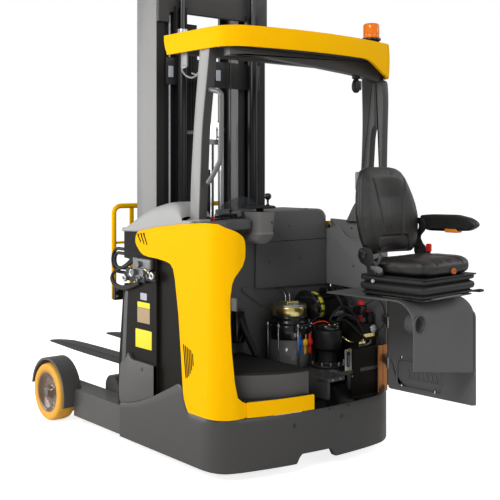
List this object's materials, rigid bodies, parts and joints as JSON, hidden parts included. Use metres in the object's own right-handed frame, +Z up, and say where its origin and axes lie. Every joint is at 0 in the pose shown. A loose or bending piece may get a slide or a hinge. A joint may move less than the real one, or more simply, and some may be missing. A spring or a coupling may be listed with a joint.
{
  "type": "reach truck",
  "caption": "Electric reach truck: straddle legs with load wheels, reaching three-stage mast, shiftable forks, overhead guard, and seat door swung open over the drive bay.",
  "frame": {"origin": "middle of the bounding box, on the ground", "axes": "+X the truck's right, +Y towards the fork tips, +Z up"},
  "size_m": [1.41, 3.1257, 2.75],
  "materials": {
    "chassis_grey": "satin",
    "cover_black": "satin",
    "panel_yellow": "gloss",
    "hood_grey": "satin",
    "console_grey": "satin",
    "mast_grey": "satin",
    "post_pale": "satin",
    "chrome_rod": "polished",
    "steel_bare": "brushed",
    "machine_black": "gloss",
    "tyre_yellow": "matte",
    "tyre_black": "matte",
    "hose_rubber": "matte",
    "seat_vinyl": "satin",
    "bellows_rubber": "matte",
    "lens_amber": "gloss",
    "clear_shield": "clear",
    "fork_black": "satin",
    "tank_plastic": "gloss"
  },
  "bodies": {
    "chassis": {"plinth": "chassis_grey", "leg_left": "chassis_grey", "leg_right": "chassis_grey", "battery": "cover_black", "front_wall": "cover_black", "side_cover_left": "cover_black", "side_cover_right": "cover_black", "yellow_panel_left": "panel_yellow", "yellow_panel_right": "panel_yellow", "top_hood": "hood_grey", "battery_hood": "console_grey", "console_wall": "console_grey", "pocket_panel": "console_grey", "foot_well": "cover_black", "step_trim": "panel_yellow", "dash": "cover_black", "steering_column": "hood_grey", "visor": "clear_shield", "roof_fascia": "panel_yellow", "roof_frame": "chassis_grey", "roof_slats": "hood_grey", "post_left": "post_pale", "post_right": "chassis_grey", "grab_handle": "post_pale", "beacon": "lens_amber", "roof_lamp": "cover_black", "motor_frame": "chassis_grey", "oil_tank": "tank_plastic", "pump_motor": "machine_black", "drive_motor": "machine_black", "controller_box": "cover_black", "valve_block": "steel_bare", "valve_hoses": "hose_rubber", "reach_cylinder": "machine_black"},
    "load_wheel_left": {"load_wheel_left": "tyre_yellow"},
    "load_wheel_right": {"load_wheel_right": "tyre_yellow"},
    "drive_yoke": {"drive_yoke": "machine_black"},
    "drive_wheel": {"drive_wheel": "tyre_black"},
    "castor_fork": {"castor_fork": "steel_bare"},
    "castor_wheel": {"castor_wheel": "tyre_black"},
    "steering_wheel": {"steering_wheel": "cover_black"},
    "seat_door": {"door_panel": "console_grey", "seat_box": "console_grey", "seat_suspension": "bellows_rubber", "seat_cushion": "seat_vinyl"},
    "seat_backrest": {"seat_backrest": "seat_vinyl"},
    "armrest": {"armrest": "seat_vinyl"},
    "reach": {"reach_carriage": "chassis_grey", "outer_mast": "mast_grey", "lift_barrels": "machine_black"},
    "middle_mast": {"middle_mast": "mast_grey", "lift_rods": "chrome_rod"},
    "inner_mast": {"inner_mast": "mast_grey", "free_lift_barrel": "machine_black"},
    "lift_head": {"lift_head": "steel_bare"},
    "fork_carriage": {"fork_carriage": "fork_black"},
    "side_shifter": {"side_shifter": "fork_black", "load_backrest": "panel_yellow"},
    "fork_left": {"fork_left": "fork_black"},
    "fork_right": {"fork_right": "fork_black"}
  },
  "joints": [
    {"name": "load_wheel_left_spin", "type": "hinge", "parent": "chassis", "child": "load_wheel_left", "pos_m": [-0.6475, 0.719, 0.17], "axis": [1, 0, 0], "continuous": true},
    {"name": "load_wheel_right_spin", "type": "hinge", "parent": "chassis", "child": "load_wheel_right", "pos_m": [0.6475, 0.719, 0.17], "axis": [1, 0, 0], "continuous": true},
    {"name": "drive_steer", "type": "hinge", "parent": "chassis", "child": "drive_yoke", "pos_m": [0.3, -0.651, 0.352], "axis": [0, 0, 1], "range_deg": [-90, 90]},
    {"name": "drive_spin", "type": "hinge", "parent": "drive_yoke", "child": "drive_wheel", "pos_m": [0.3, -0.651, 0.1715], "axis": [1, 0, 0], "continuous": true},
    {"name": "castor_swivel", "type": "hinge", "parent": "chassis", "child": "castor_fork", "pos_m": [-0.33, -0.681, 0.23], "axis": [0, 0, 1], "continuous": true},
    {"name": "castor_spin", "type": "hinge", "parent": "castor_fork", "child": "castor_wheel", "pos_m": [-0.33, -0.646, 0.075], "axis": [1, 0, 0], "continuous": true},
    {"name": "steering_wheel_turn", "type": "hinge", "parent": "chassis", "child": "steering_wheel", "pos_m": [-0.069, -0.501, 1.289], "axis": [0, 0, 1], "continuous": true},
    {"name": "seat_door_swing", "type": "hinge", "parent": "chassis", "child": "seat_door", "pos_m": [0.485, -0.931, 0.318], "axis": [0, 0, 1], "range_deg": [-94, 4]},
    {"name": "backrest_recline", "type": "hinge", "parent": "seat_door", "child": "seat_backrest", "pos_m": [0.2124, -1.1756, 1.1], "axis": [-0.9976, -0.0698, 0], "range_deg": [-6, 10]},
    {"name": "armrest_lift", "type": "hinge", "parent": "seat_door", "child": "armrest", "pos_m": [0.4821, -1.1768, 1.222], "axis": [-0.9976, -0.0698, 0], "range_deg": [0, 80]},
    {"name": "reach_slide", "type": "slide", "parent": "chassis", "child": "reach", "axis": [0, 1, 0], "range_m": [0, 0.4]},
    {"name": "middle_mast_lift", "type": "slide", "parent": "reach", "child": "middle_mast", "axis": [0, 0, 1], "range_m": [0, 1.8]},
    {"name": "inner_mast_lift", "type": "slide", "parent": "middle_mast", "child": "inner_mast", "axis": [0, 0, 1], "range_m": [0, 1.8]},
    {"name": "lift_head_rise", "type": "slide", "parent": "inner_mast", "child": "lift_head", "axis": [0, 0, 1], "range_m": [-0.12, 0.8]},
    {"name": "fork_carriage_lift", "type": "slide", "parent": "inner_mast", "child": "fork_carriage", "axis": [0, 0, 1], "range_m": [-0.24, 1.6]},
    {"name": "side_shift", "type": "slide", "parent": "fork_carriage", "child": "side_shifter", "axis": [1, 0, 0], "range_m": [-0.075, 0.075]},
    {"name": "fork_left_spread", "type": "slide", "parent": "side_shifter", "child": "fork_left", "axis": [1, 0, 0], "range_m": [-0.03, 0.1]},
    {"name": "fork_right_spread", "type": "slide", "parent": "side_shifter", "child": "fork_right", "axis": [1, 0, 0], "range_m": [-0.1, 0.03]}
  ],
  "couplings": [
    {"joint": "inner_mast_lift", "follows": "middle_mast_lift", "ratio": 1},
    {"joint": "lift_head_rise", "follows": "fork_carriage_lift", "ratio": 0.5}
  ]
}
